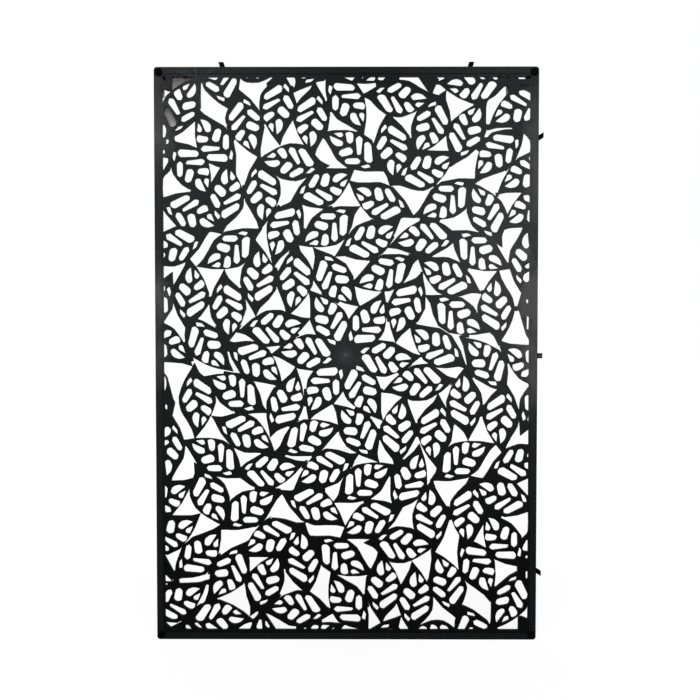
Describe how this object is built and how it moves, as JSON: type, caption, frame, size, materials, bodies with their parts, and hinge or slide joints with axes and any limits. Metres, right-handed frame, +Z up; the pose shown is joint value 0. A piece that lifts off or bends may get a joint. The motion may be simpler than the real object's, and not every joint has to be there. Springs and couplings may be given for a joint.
{
  "type": "openwork screen panel",
  "caption": "Upright openwork plastic screen panel with a leaf lattice in a slim rectangular frame bar, snap clips on two edges and plugged screw holes in the corners",
  "frame": {"origin": "middle of the panel on the plane of its back face, where the corner screws' pattern is centred", "axes": "+X to the right seen from the front, +Y to the back, +Z up"},
  "size_m": [0.608, 0.0112, 0.908],
  "materials": {
    "charcoal_plastic": "satin",
    "black_plastic": "satin"
  },
  "bodies": {
    "root": {"panel": "charcoal_plastic", "corner_plug_top_left": "black_plastic", "corner_plug_top_right": "black_plastic", "corner_plug_bottom_left": "black_plastic", "corner_plug_bottom_right": "black_plastic", "top_clip_left": "black_plastic", "top_clip_right": "black_plastic", "side_clip_upper": "black_plastic", "side_clip_middle": "black_plastic", "side_clip_lower": "black_plastic"}
  },
  "joints": []
}
